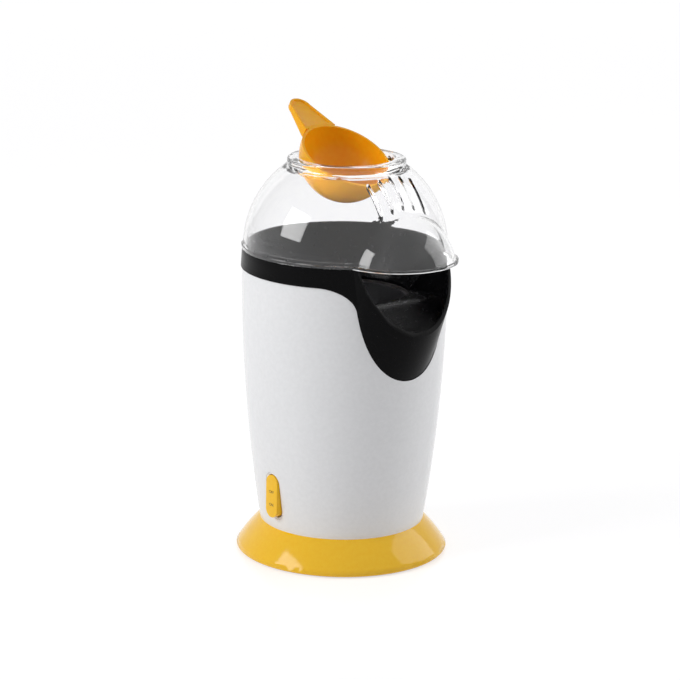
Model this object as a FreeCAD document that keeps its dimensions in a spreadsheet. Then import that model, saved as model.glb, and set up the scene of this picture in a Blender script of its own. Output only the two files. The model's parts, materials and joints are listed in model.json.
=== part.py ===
import FreeCAD, Part
import math
import os
import re

import Sketcher
from FreeCAD import Placement, Rotation, Vector

# Hot-air popcorn maker, in millimetres. The origin is on the upright axis at the surface it
# stands on, +Z is up, and the spout faces -Y. Heights stack up from the base: motor, fan, heater,
# popping chamber, collar, dome, scoop.

doc = FreeCAD.newDocument("popcorn_maker")
sheet = doc.addObject("Spreadsheet::Sheet", "dims")

SIZES = {
    # Clearances
    "seat_gap": 0.3,
    "screw_gap": 0.3,
    "thread_gap": 0.05,
    "running_gap": 0.05,
    # Base skirt, plate and feet
    "base_radius": 80.0,
    "base_height": 24.4,
    "base_lift": 0.8,
    "skirt_wall": 2.5,
    "skirt_edge": 1.8,
    "skirt_flare": 120.0,
    "skirt_flange_width": 16.0,
    "joint_lip_height": 4.0,
    "joint_lip_wall": 2.0,
    "plate_lift": 3.0,
    "plate_thick": 2.5,
    "plate_gap": 3.5,
    "air_slot_inner": 18.0,
    "air_slot_outer": 44.0,
    "air_slot_width": 3.0,
    "air_slot_count": 24,
    "foot_radius": 7.0,
    "foot_inset": 17.0,
    "foot_stem": 2.5,
    "base_boss_radius": 4.0,
    "base_boss_inset": 10.2,
    "base_boss_height": 19.0,
    # Body shell
    "body_foot_radius": 62.2,
    "body_top_radius": 77.0,
    "body_upright": 4.0,
    "body_wall": 2.5,
    "rib_width": 3.0,
    "duct_boss_radius": 3.5,
    "duct_boss_height": 16.0,
    "lug_width": 11.0,
    "lug_thick": 3.0,
    "lug_reach": 12.0,
    "lug_drop": 13.0,
    # Collar: band, lip, funnel and spout
    "band_height": 14.2,
    "collar_proud": 0.8,
    "collar_wall": 2.5,
    "spigot_depth": 7.0,
    "spigot_wall": 2.2,
    "lip_height": 3.8,
    "lip_wall": 2.0,
    "lip_gap": 1.0,
    "funnel_rise": 35.5,
    "throat_margin": 1.0,
    "throat_flange": 3.0,
    "spout_radius": 44.5,
    "spout_lean": 21.0,
    "spout_out": 60.5,
    "spout_blend": 20.0,
    "mouth_out": 64.8,
    "mouth_lean": 25.0,
    "chute_start": 59.5,
    "chute_slope": 34.2,
    "collar_boss_radius": 3.5,
    # Dome
    "dome_inset": 0.5,
    "dome_wall": 2.0,
    "dome_rim": 1.0,
    "dome_rim_height": 2.0,
    "hood_radius": 45.0,
    "hood_out": 57.0,
    "hood_rise": -8.0,
    "hood_blend": 12.0,
    "ring_width": 8.5,
    "ring_rise": 5.0,
    "ring_depth": 11.0,
    "ring_edge": 1.5,
    "vent_width": 2.6,
    "vent_length": 17.5,
    "vent_start": 47.0,
    "vent_pitch": 10.0,
    "vent_count": 5,
    # Scoop
    "scoop_radius": 35.3,
    "scoop_wall": 1.8,
    "scoop_rise": 1.2,
    "scoop_tilt": 31.0,
    "scoop_turn": 3.5,
    "handle_length": 34.0,
    "handle_root_width": 30.0,
    "handle_end_width": 18.0,
    "handle_root_depth": 7.5,
    "handle_end_depth": 2.2,
    "handle_hollow": 1.0,
    "handle_border": 1.6,
    "handle_root_border": 2.6,
    # Popping chamber, gasket and duct
    "chamber_room": 8.0,
    "chamber_sheet": 1.2,
    "chamber_depth": 66.1,
    "chamber_corner": 10.0,
    "chamber_clear": 3.0,
    "louvre_count": 16,
    "louvre_length": 14.0,
    "louvre_width": 2.4,
    "louvre_height": 20.0,
    "louvre_slant": 35.0,
    "gasket_thick": 2.0,
    "gasket_width": 6.0,
    "duct_room": 11.26,
    "duct_wall": 2.0,
    "duct_flange": 2.0,
    "duct_lug_edge": 1.0,
    "ledge_thick": 2.5,
    # Heater
    "heater_clear": 2.5,
    "heater_height": 22.0,
    "mica_thick": 1.0,
    "coil_wire": 2.0,
    "coil_room": 11.0,
    "coil_pitch": 10.0,
    "coil_count": 3,
    "heater_step": 2.5,
    # Motor and fan
    "motor_rise": 10.2,
    "motor_length": 40.5,
    "motor_radius": 18.5,
    "can_wall": 1.2,
    "motor_screw_circle": 11.1,
    "motor_screw_end": 1.0,
    "end_cap_height": 6.0,
    "end_cap_floor": 2.5,
    "end_cap_lip": 2.0,
    "shaft_radius": 1.6,
    "shaft_tail": 3.0,
    "bush_radius": 4.0,
    "bush_length": 4.0,
    "magnet_thick": 3.5,
    "magnet_gap": 0.8,
    "magnet_lift": 6.0,
    "magnet_split": 12.95,
    "armature_length": 20.0,
    "mount_thick": 2.5,
    "mount_arm_width": 8.0,
    "mount_hub_edge": 1.5,
    "fan_clear": 5.0,
    "fan_height": 19.5,
    "fan_room": 11.0,
    "fan_plate": 1.5,
    "fan_hub": 7.0,
    "fan_blade": 1.4,
    "fan_blade_length": 18.9,
    "fan_blade_count": 12,
    # Electrical pieces
    "board_radius": 16.0,
    "board_thick": 1.6,
    "board_drop": 5.5,
    "board_leg_circle": 12.0,
    "diode_radius": 2.6,
    "diode_length": 8.0,
    "diode_place_x": 7.2,
    "diode_place_y": 6.4,
    "thermostat_radius": 8.0,
    "thermostat_height": 7.0,
    "thermostat_cap": 2.8,
    "thermostat_step": 2.0,
    "fuse_radius": 2.0,
    "fuse_length": 12.0,
    "pad_reach": 2.0,
    "block_length": 26.0,
    "block_width": 12.0,
    "block_height": 9.0,
    "block_place": 36.0,
    # Switch
    "switch_z": 51.0,
    "rocker_width": 13.0,
    "rocker_height": 33.0,
    "rocker_proud": 2.4,
    "rocker_depth": 7.0,
    "rocker_tilt": 8.0,
    "rocker_side_gap": 0.5,
    "rocker_end_gap": 1.0,
    "switch_wall": 1.4,
    "switch_depth": 12.5,
    "switch_inset": 0.8,
    "pin_radius": 1.5,
    "tab_width": 6.3,
    "tab_thick": 0.8,
    "tab_length": 8.0,
    "tab_pitch": 9.43,
    # Cord inlet
    "inlet_z": 38.0,
    "inlet_bore": 3.6,
    "inlet_wall": 2.4,
    "inlet_flange": 2.5,
    "inlet_flange_thick": 2.4,
    "inlet_length": 14.0,
    # Screws
    "screw_radius": 1.6,
    "screw_head": 3.0,
    "screw_head_height": 2.0,
    "screw_bite": 10.0,
}

for row, (alias, value) in enumerate(SIZES.items(), start=1):
    sheet.set(f"A{row}", alias)
    sheet.set(f"B{row}", str(value))
    sheet.setAlias(f"B{row}", alias)
doc.recompute()

# Heights that follow from the stack, as formulas of the sizes
MOTOR_Z = "(base_height + motor_rise)"
MOUNT_Z = f"({MOTOR_Z} + motor_length)"
DUCT_Z = f"({MOUNT_Z} - ledge_thick)"
FAN_Z = f"({MOUNT_Z} + mount_thick + fan_clear)"
HEATER_Z = f"({FAN_Z} + fan_height + heater_clear)"
CHAMBER_Z = f"({HEATER_Z} + heater_height + chamber_clear)"
RIM_Z = f"({CHAMBER_Z} + chamber_depth)"
DUCT_TOP_Z = f"({RIM_Z} - chamber_sheet)"
THROAT_Z = f"({RIM_Z} + gasket_thick)"
THROAT_TOP_Z = f"({THROAT_Z} + collar_wall)"
SHELF_Z = f"({THROAT_Z} + funnel_rise)"
BODY_TOP_Z = f"({SHELF_Z} - band_height)"
DOME_Z = f"({SHELF_Z} + seat_gap)"
PLATE_TOP_Z = "(plate_lift + plate_thick)"
FLANGE_Z = "(base_height - skirt_wall)"

# The body's outside is an arc from the base joint up to an upright band
UPRIGHT_Z = f"({BODY_TOP_Z} - body_upright)"
BARREL_R = (f"((({UPRIGHT_Z} - base_height) ^ 2 + (body_top_radius - body_foot_radius) ^ 2)"
            f" / (2 * (body_top_radius - body_foot_radius)))")


def wall_radius(z):
    """Outside radius of the body at a height."""
    return f"(body_top_radius - {BARREL_R} + sqrt({BARREL_R} ^ 2 - ({UPRIGHT_Z} - {z}) ^ 2))"


# Radii that follow from a neighbour
DUCT_R = f"({wall_radius(DUCT_Z)} - body_wall - duct_room)"
CHAMBER_R = f"({DUCT_R} - chamber_room)"
FAN_R = f"({DUCT_R} - fan_room)"
COIL_R = f"({DUCT_R} - coil_room)"
BASE_BOSS_CIRCLE = "(body_foot_radius - base_boss_inset)"
FOOT_CIRCLE = "(base_radius - foot_inset)"
LEDGE_W = "((screw_head + screw_gap) * 2)"
MOUNT_CIRCLE = f"({DUCT_R} - duct_wall - {LEDGE_W} / 2)"
DOME_R = "(body_top_radius - dome_inset)"
LIP_R = f"({DOME_R} - dome_wall - lip_gap)"
THROAT_R = f"({CHAMBER_R} + throat_margin)"
DUCT_BOSS_CIRCLE = f"({DUCT_R} + duct_boss_radius + duct_flange)"
LUG_CIRCLE = "(body_top_radius - body_wall - lug_reach / 2)"
RING_R = "(scoop_radius + seat_gap + ring_width)"
RING_TOP_Z = f"({DOME_Z} + sqrt({DOME_R} ^ 2 - {RING_R} ^ 2) + ring_rise)"
SCOOP_Z = f"({RING_TOP_Z} + scoop_rise)"

# Angles round the axis, a length beyond the whole part, how far a cutting tool runs past what it cuts,
# and the turn that lays a cylinder along X
BASE_ANGLES = (45, 135, 225, 315)
FOOT_ANGLES = (0, 90, 180, 270)
DUCT_ANGLES = (30, 150, 270)
LUG_ANGLES = (90, 210, 330)
FAR = 400.0
PAST = 1.0
ALONG_X = (Vector(0, 1, 0), 90)


def expr(text):
    """Puts the sheet's name before each size in a formula."""
    return re.sub(r"[a-z][a-z_]*", lambda m: f"dims.{m[0]}" if m[0] in SIZES else m[0], str(text))


def val(text):
    """The value of a formula now, in millimetres or degrees."""
    return float(sheet.evalExpression(expr(text)))


def bind(thing, **formulas):
    """Ties properties to formulas; x, y and z stand for the placement."""
    for name, formula in formulas.items():
        path = f"Placement.Base.{name}" if name in ("x", "y", "z") else name
        thing.setExpression(path, expr(formula))
    return thing


def polar(radius, angle):
    """Formulas for x and y on a circle."""
    return f"{radius} * cos({angle})", f"{radius} * sin({angle})"


# Sketch outlines


def arc_centre(start, end, kind, amount, side):
    """Centre of an arc given by its radius, or by one coordinate of the centre."""
    middle = (start + end) * 0.5
    chord = end - start
    across = Vector(-chord.y, chord.x, 0)
    if kind == "radius":
        reach = math.sqrt(max(amount ** 2 - chord.Length ** 2 / 4, 0))
        return middle + across.normalize() * (reach * side)
    if kind == "centre_x":
        return middle + across * ((amount - middle.x) / across.x if across.x else 0)
    return middle + across * ((amount - middle.y) / across.y if across.y else 0)


def angle_of(point, centre):
    return math.atan2(point.y - centre.y, point.x - centre.x)


def draw(sketch, corners, arcs=None):
    """Closed outline. arcs maps a side to (kind, formula, +1 for anticlockwise or -1)."""
    arcs = arcs or {}
    points = [Vector(val(x), val(y), 0) for x, y in corners]
    ends = []
    for side, start in enumerate(points):
        end = points[(side + 1) % len(points)]
        if side not in arcs:
            sketch.addGeometry(Part.LineSegment(start, end), False)
            ends.append((1, 2))
            continue
        kind, formula, turn = arcs[side]
        centre = arc_centre(start, end, kind, val(formula), turn)
        circle = Part.Circle(centre, Vector(0, 0, 1), (start - centre).Length)
        first, last = (start, end) if turn > 0 else (end, start)
        sketch.addGeometry(Part.ArcOfCircle(circle, angle_of(first, centre), angle_of(last, centre)), False)
        ends.append((1, 2) if turn > 0 else (2, 1))
    for side in range(len(points)):
        after = (side + 1) % len(points)
        sketch.addConstraint(Sketcher.Constraint("Coincident", side, ends[side][1], after, ends[after][0]))
    for side, (x, y) in enumerate(corners):
        pin(sketch, side, ends[side][0], x, y)
    for side, (kind, formula, _) in arcs.items():
        if kind == "radius":
            rule = Sketcher.Constraint("Radius", side, val(formula))
        else:
            way = "DistanceX" if kind == "centre_x" else "DistanceY"
            rule = Sketcher.Constraint(way, -1, 1, side, 3, val(formula))
        tie(sketch, rule, formula)


def pin(sketch, piece, spot, x, y):
    """Fixes a sketch point at two formulas, or on an axis where a formula is 0."""
    for way, axis, formula in (("DistanceX", -2, x), ("DistanceY", -1, y)):
        if formula == "0":
            sketch.addConstraint(Sketcher.Constraint("PointOnObject", piece, spot, axis))
        else:
            tie(sketch, Sketcher.Constraint(way, -1, 1, piece, spot, val(formula)), formula)


def tie(sketch, rule, formula):
    index = sketch.addConstraint(rule)
    sketch.setExpression(f"Constraints[{index}]", expr(formula))


def circle(sketch, x, y, radius):
    index = sketch.addGeometry(Part.Circle(Vector(val(x), val(y), 0), Vector(0, 0, 1), val(radius)), False)
    pin(sketch, index, 3, x, y)
    tie(sketch, Sketcher.Constraint("Radius", index, val(radius)), radius)


# Part Design features


def new_body(label):
    return doc.addObject("PartDesign::Body", label)


def sketch_on(body, plane, lift="0"):
    """Sketch on one of the body's own origin planes, moved along its normal by lift."""
    sketch = body.newObject("Sketcher::SketchObject", f"{body.Name}_sketch")
    support = next(f for f in body.Origin.OriginFeatures if f.Role == plane)
    sketch.AttachmentSupport = (support, [""])
    sketch.MapMode = "FlatFace"
    sketch.setExpression("AttachmentOffset.Base.z", expr(lift))
    return sketch


def feature(body, kind, sketch, both_ways=False, back=False, **formulas):
    made = body.newObject(f"PartDesign::{kind}", f"{body.Name}_{kind.lower()}")
    made.Profile = sketch
    made.Reversed = back
    if both_ways:
        made.SideType = "Symmetric"
    bind(made, **formulas)
    body.Tip = made
    return made


def lathe(label, corners, arcs=None):
    """Turned solid: an outline of (radius, height) revolved about the upright axis."""
    body = new_body(label)
    sketch = sketch_on(body, "XZ_Plane")
    draw(sketch, corners, arcs)
    turn = body.newObject("PartDesign::Revolution", f"{label}_turned")
    turn.Profile = sketch
    turn.ReferenceAxis = (sketch, ["V_Axis"])
    turn.Angle = 360
    body.Tip = turn
    return body


def ring_pattern(body, original, sketch, count):
    """Repeats a feature round the upright axis; sketch lies flat, so its normal is that axis."""
    pattern = body.newObject("PartDesign::PolarPattern", f"{body.Name}_ring")
    pattern.Originals = [original]
    pattern.Axis = (sketch, ["N_Axis"])
    pattern.Angle = 360
    bind(pattern, Occurrences=count)
    body.Tip = pattern
    return pattern


# Part primitives and booleans


def cylinder(radius, height, x="0", y="0", z="0", turn=None):
    """Upright cylinder, or one turned by (axis, degrees) about its base point."""
    made = doc.addObject("Part::Cylinder", "cylinder")
    if turn:
        made.Placement = Placement(Vector(), Rotation(*turn))
    return bind(made, Radius=radius, Height=height, x=x, y=y, z=z)


def cuboid(length, width, height, x, y, z, angle=0):
    """Box with its corner at x, y, z, turned by angle about the upright through that corner."""
    made = doc.addObject("Part::Box", "cuboid")
    made.Placement = Placement(Vector(), Rotation(Vector(0, 0, 1), angle))
    return bind(made, Length=length, Width=width, Height=height, x=x, y=y, z=z)


def radial_box(start, length, width, height, z, angle):
    """Box that runs outwards from the axis at an angle, centred on that direction."""
    x = f"{start} * cos({angle}) + {width} / 2 * sin({angle})"
    y = f"{start} * sin({angle}) - {width} / 2 * cos({angle})"
    return cuboid(length, width, height, x, y, z, angle)


def ball(radius, z, y="0"):
    made = doc.addObject("Part::Sphere", "ball")
    return bind(made, Radius=radius, y=y, z=z)


def fuse(*things, label="fuse"):
    made = doc.addObject("Part::MultiFuse", label)
    made.Shapes = list(things)
    made.Refine = True
    return made


def common(*things, label="common"):
    made = doc.addObject("Part::MultiCommon", label)
    made.Shapes = list(things)
    return made


def cut(base, *tools, label="cut"):
    """The base less each tool in turn; the last result has the label."""
    for tool in tools:
        made = doc.addObject("Part::Cut", label if tool is tools[-1] else "cut")
        made.Base = base
        made.Tool = tool
        made.Refine = True
        base = made
    return base


def group(label, things):
    made = doc.addObject("Part::Compound", label)
    made.Links = list(things)
    return made


def side_prism(corners, width, label="prism"):
    """Outline of (outwards, height) in the middle plane, outwards to the front, padded both ways."""
    body = new_body(label)
    sketch = sketch_on(body, "YZ_Plane")
    draw(sketch, [(f"-({out})", height) for out, height in corners])
    feature(body, "Pad", sketch, both_ways=True, Length=width)
    return body


def rounded_edges(base, radius, chosen, label="rounded"):
    """Rounds the edges of base that chosen() picks."""
    doc.recompute()
    made = doc.addObject("Part::Fillet", label)
    made.Base = base
    picked = [i for i, edge in enumerate(base.Shape.Edges, start=1) if chosen(edge)]
    made.Edges = [(i, val(radius), val(radius)) for i in picked]
    return made


def screw(x, y, z, length, up):
    """Pan-head screw with a driver slot: the head sits on height z and the shank runs from there."""
    head_z = f"{z} - screw_head_height" if up else z
    shank_z = z if up else f"{z} - ({length})"
    head = cylinder("screw_head", "screw_head_height", x, y, head_z)
    shank = cylinder("screw_radius", length, x, y, shank_z)
    slot_z = f"{z} - screw_head_height * {1 if up else -0.5}"
    slot = cuboid("screw_head * 2", "screw_radius / 2", "screw_head_height / 2",
                  f"{x} - screw_head", f"{y} - screw_radius / 4", slot_z)
    return fuse(cut(head, slot), shank)


def thread_hole(x, y, z):
    """Hole for a screw's thread, from just below height z."""
    return cylinder("screw_radius + thread_gap", f"screw_bite + {PAST} * 2", x, y, f"{z} - {PAST}")


# Shared forms of the outside


def barrel(offset, top):
    """Solid barrel: the body's outside moved out by offset, from the base joint up to top."""
    foot = f"(body_foot_radius + {offset})"
    crown = f"(body_top_radius + {offset})"
    corners = [("0", "base_height"), (foot, "base_height"), (crown, UPRIGHT_Z), (crown, top), ("0", top)]
    return lathe("barrel", corners, {1: ("centre_y", UPRIGHT_Z, 1)})


def spout_tube(radius, label):
    """The leaning tube of the spout: its axis leans forward as it rises."""
    drop = 160.0
    made = cylinder(radius, str(FAR), turn=(Vector(1, 0, 0), val("spout_lean")))
    made.Label = label
    made.setExpression("Placement.Rotation.Angle", expr("spout_lean"))
    return bind(made, y=f"-(spout_out - {drop} * tan(spout_lean))", z=f"{SHELF_Z} - {drop}")


def spout_cutter(radius):
    """Everything above the body's top edge and inside the spout tube, with a soft shoulder between."""
    above = cuboid(str(FAR), str(FAR), str(FAR), str(-FAR / 2), str(-FAR / 2), BODY_TOP_Z)
    joined = fuse(above, spout_tube(radius, "spout_solid"))
    level = val(BODY_TOP_Z)

    def on_shoulder(edge):
        box = edge.BoundBox
        return abs(box.ZMin - level) < 0.01 and box.ZLength < 0.01 and edge.Curve.TypeId != "Part::GeomLine"

    return rounded_edges(joined, "spout_blend", on_shoulder)


# Base


def base_skirt():
    lip_out = "(body_foot_radius - body_wall - seat_gap)"
    lip_in = f"({lip_out} - joint_lip_wall)"
    inner = "(body_foot_radius - skirt_flange_width)"
    corners = [
        (inner, "base_height"),
        (inner, FLANGE_Z),
        ("body_foot_radius - skirt_wall", FLANGE_Z),
        ("base_radius - skirt_wall", "base_lift + skirt_edge"),
        ("base_radius - skirt_wall", "base_lift"),
        ("base_radius - skirt_edge", "base_lift"),
        ("base_radius", "base_lift + skirt_edge"),
        ("body_foot_radius", "base_height"),
        (lip_out, "base_height"),
        (lip_out, "base_height + joint_lip_height"),
        (lip_in, "base_height + joint_lip_height"),
        (lip_in, "base_height"),
    ]
    arcs = {
        2: ("radius", "skirt_flare - skirt_wall", -1),
        5: ("radius", "skirt_edge", 1),
        6: ("radius", "skirt_flare", 1),
    }
    turned = lathe("skirt_turned", corners, arcs)
    holes = [cylinder("screw_radius + screw_gap", "skirt_wall * 3", *polar(BASE_BOSS_CIRCLE, angle),
                      f"{FLANGE_Z} - skirt_wall") for angle in BASE_ANGLES]
    return cut(turned, *holes, label="base_skirt")


def foot_places():
    """One foot in the middle of the plate and four round its edge."""
    return [("0", "0")] + [polar(FOOT_CIRCLE, angle) for angle in FOOT_ANGLES]


def base_plate():
    radius = "base_radius - skirt_wall - plate_gap"
    body = new_body("plate_disc")
    disc = sketch_on(body, "XY_Plane", "plate_lift")
    circle(disc, "0", "0", radius)
    feature(body, "Pad", disc, Length="plate_thick")
    slot = sketch_on(body, "XY_Plane", "plate_lift")
    half = "air_slot_width / 2"
    draw(slot, [("air_slot_inner", f"-{half}"), ("air_slot_outer", f"-{half}"),
                ("air_slot_outer", half), ("air_slot_inner", half)])
    opened = feature(body, "Pocket", slot, back=True, Length="plate_thick")
    ring_pattern(body, opened, slot, "air_slot_count")
    posts = [cylinder("base_boss_radius", f"{FLANGE_Z} - {PLATE_TOP_Z}", *polar(BASE_BOSS_CIRCLE, angle),
                      PLATE_TOP_Z) for angle in BASE_ANGLES]
    solid = fuse(body, *posts)
    tools = []
    for angle in BASE_ANGLES:
        x, y = polar(BASE_BOSS_CIRCLE, angle)
        tools.append(cylinder("screw_radius + screw_gap", "base_height", x, y))
        tools.append(cylinder("screw_head + screw_gap", "plate_lift + screw_head_height", x, y))
    for x, y in foot_places():
        tools.append(cylinder("foot_stem + thread_gap", "base_height", x, y))
    return cut(solid, *tools, label="base_plate")


def rubber_feet():
    feet = []
    for x, y in foot_places():
        pad = cylinder("foot_radius", "plate_lift", x, y)
        feet.append(fuse(pad, cylinder("foot_stem", PLATE_TOP_Z, x, y)))
    return group("rubber_feet", feet)


def base_screws():
    seat = "(plate_lift + screw_head_height)"
    length = f"(base_height + screw_bite - {seat})"
    return group("base_screws", [screw(*polar(BASE_BOSS_CIRCLE, angle), seat, length, True)
                                 for angle in BASE_ANGLES])


# Body


def body_shell():
    shell = cut(barrel("0", BODY_TOP_Z), barrel("(-body_wall)", f"{BODY_TOP_Z} + {PAST}"))
    inside = []
    rib_z = "base_height + joint_lip_height + seat_gap"
    for angle in BASE_ANGLES:
        inside.append(cylinder("base_boss_radius", "base_boss_height", *polar(BASE_BOSS_CIRCLE, angle),
                               "base_height"))
        inside.append(radial_box(BASE_BOSS_CIRCLE, f"body_top_radius - {BASE_BOSS_CIRCLE}", "rib_width",
                                 "base_boss_height - joint_lip_height - seat_gap", rib_z, angle))
    for angle in DUCT_ANGLES:
        low = f"{DUCT_Z} - duct_boss_height"
        inside.append(cylinder("duct_boss_radius", "duct_boss_height", *polar(DUCT_BOSS_CIRCLE, angle), low))
        inside.append(radial_box(DUCT_BOSS_CIRCLE, f"body_top_radius - {DUCT_BOSS_CIRCLE}", "rib_width",
                                 "duct_boss_height", low, angle))
    lug_z = f"{BODY_TOP_Z} - lug_drop - lug_thick"
    for angle in LUG_ANGLES:
        inside.append(radial_box("body_top_radius - body_wall - lug_reach", "lug_reach + body_wall",
                                 "lug_width", "lug_thick", lug_z, angle))
    within = common(fuse(*inside), barrel("(-body_wall / 2)", BODY_TOP_Z))
    holes = [switch_opening(), inlet_hole(), spout_cutter("spout_radius + seat_gap")]
    for angle in BASE_ANGLES:
        holes.append(thread_hole(*polar(BASE_BOSS_CIRCLE, angle), "base_height"))
    for angle in DUCT_ANGLES:
        holes.append(thread_hole(*polar(DUCT_BOSS_CIRCLE, angle), f"{DUCT_Z} - screw_bite"))
    for angle in LUG_ANGLES:
        holes.append(cylinder("screw_radius + screw_gap", "lug_thick * 3", *polar(LUG_CIRCLE, angle),
                              f"{lug_z} - lug_thick"))
    return cut(fuse(shell, within), *holes, label="body_shell")


def collar_screws():
    seat = f"({BODY_TOP_Z} - lug_drop - lug_thick)"
    return group("collar_screws", [screw(*polar(LUG_CIRCLE, angle), seat, "lug_thick + screw_bite", True)
                                   for angle in LUG_ANGLES])


# Collar


def collar_ring():
    """Band, shelf, lip, funnel and throat, turned in one."""
    band_foot = "(body_top_radius + collar_proud)"
    spigot_out = "(body_top_radius - body_wall - seat_gap)"
    spigot_in = f"({spigot_out} - spigot_wall)"
    band_in = "(body_top_radius - collar_wall)"
    lip_in = f"({LIP_R} - lip_wall)"
    flange = f"({DUCT_R} + throat_flange)"
    slope = f"(({SHELF_Z} + lip_height - {THROAT_TOP_Z}) / ({lip_in} - {THROAT_R}))"
    under = f"({THROAT_R} + collar_wall * sqrt(1 + 1 / {slope} ^ 2))"
    shelf_under = f"({SHELF_Z} - collar_wall)"
    corners = [
        (spigot_in, f"{BODY_TOP_Z} - spigot_depth"),
        (spigot_out, f"{BODY_TOP_Z} - spigot_depth"),
        (spigot_out, BODY_TOP_Z),
        (band_foot, BODY_TOP_Z),
        ("body_top_radius", SHELF_Z),
        (LIP_R, SHELF_Z),
        (LIP_R, f"{SHELF_Z} + lip_height"),
        (lip_in, f"{SHELF_Z} + lip_height"),
        (THROAT_R, THROAT_TOP_Z),
        (THROAT_R, THROAT_Z),
        (flange, THROAT_Z),
        (flange, THROAT_TOP_Z),
        (under, THROAT_TOP_Z),
        (f"{under} + ({shelf_under} - {THROAT_TOP_Z}) / {slope}", shelf_under),
        (band_in, shelf_under),
        (band_in, f"{BODY_TOP_Z} + collar_wall"),
        (spigot_in, f"{BODY_TOP_Z} + collar_wall"),
    ]
    return lathe("collar_ring", corners)


def funnel_space():
    """The open space inside the funnel and above it."""
    lip_in = f"({LIP_R} - lip_wall)"
    top = f"{SHELF_Z} + lip_height"
    return lathe("funnel_space", [("0", THROAT_Z), (THROAT_R, THROAT_Z), (THROAT_R, THROAT_TOP_Z),
                                  (lip_in, top), ("0", top)])


def under_floor(drop, label):
    """Everything below the chute's floor, moved down by drop: level at first, then falling to the lip."""
    run = 60.0
    start = "chute_start"
    level = f"{THROAT_TOP_Z} - {drop}"
    end = f"{level} - {run} * tan(chute_slope)"
    low = f"{SHELF_Z} - 180"
    return side_prism([(str(-FAR / 2), level), (start, level), (f"{start} + {run}", end),
                       (f"{start} + {run}", low), (str(-FAR / 2), low)], str(FAR), label)


def mouth_space():
    """Everything in front of the plane that cuts the spout's mouth."""
    rise, drop = 60.0, 120.0
    return side_prism([(f"mouth_out - {rise} * tan(mouth_lean)", f"{SHELF_Z} + {rise}"),
                       (f"mouth_out + {drop} * tan(mouth_lean)", f"{SHELF_Z} - {drop}"),
                       (str(FAR), f"{SHELF_Z} - {drop}"), (str(FAR), f"{SHELF_Z} + {rise}")],
                      str(FAR), "mouth")


def chute_collar():
    bore_radius = "(spout_radius - collar_wall)"
    chute = cut(spout_tube(bore_radius, "spout_bore"), under_floor("0", "floor_top"), label="chute_space")
    ring = cut(collar_ring(), chute)

    skin_top = f"{BODY_TOP_Z} + seat_gap"
    skin = cut(barrel("collar_proud", skin_top),
               barrel("(collar_proud - collar_wall)", f"{skin_top} + {PAST}"))
    shoulder = cut(common(skin, spout_cutter("spout_radius")), spout_tube(bore_radius, "spout_bore"))

    above = cuboid(str(FAR), str(FAR), str(FAR), str(-FAR / 2), str(-FAR / 2), SHELF_Z)
    inside_low = common(barrel("(-body_wall)", BODY_TOP_Z), under_floor("collar_wall", "floor_under"))
    wall = cut(spout_tube("spout_radius", "spout_outside"), spout_tube(bore_radius, "spout_bore"))
    wall = cut(wall, inside_low, funnel_space(), above, mouth_space(), spout_tail())

    plate = cut(under_floor("0", "floor_top"), under_floor("collar_wall", "floor_under"))
    throat = cylinder(f"{DUCT_R} + throat_flange", "funnel_rise", z=f"{THROAT_Z} - funnel_rise / 2")
    floor = cut(common(plate, spout_tube("spout_radius", "spout_outside")), throat, mouth_space())

    boss_z = f"{BODY_TOP_Z} - lug_drop"
    bosses = [cylinder("collar_boss_radius", "lug_drop + band_height - collar_wall / 2",
                       *polar(LUG_CIRCLE, angle), boss_z) for angle in LUG_ANGLES]
    solid = fuse(ring, shoulder, wall, floor, cut(fuse(*bosses), funnel_space()))
    holes = [thread_hole(*polar(LUG_CIRCLE, angle), boss_z) for angle in LUG_ANGLES]
    return cut(solid, *holes, label="chute_collar")


def spout_tail():
    """The back of the spout tube, behind the axis, which the collar doesn't have."""
    return cuboid(str(FAR), str(FAR), str(FAR), str(-FAR / 2), "0", "0")


# Dome and scoop


def dome_form(inset, blend):
    """Dome and hood in one: two balls with a rounded crease, cut off level at the rim."""
    joined = fuse(ball(f"{DOME_R} - {inset}", DOME_Z), ball(f"hood_radius - {inset}", f"{DOME_Z} + hood_rise",
                                                            "-hood_out"))
    crease_y = -val("hood_out") * 0.4

    def on_crease(edge):
        box = edge.BoundBox
        return not edge.Degenerated and box.XLength > val("hood_radius") and box.YMax < crease_y

    softened = rounded_edges(joined, blend, on_crease)
    above = cuboid(str(FAR), str(FAR), str(FAR), str(-FAR / 2), str(-FAR / 2), DOME_Z)
    return common(softened, above)


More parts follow.
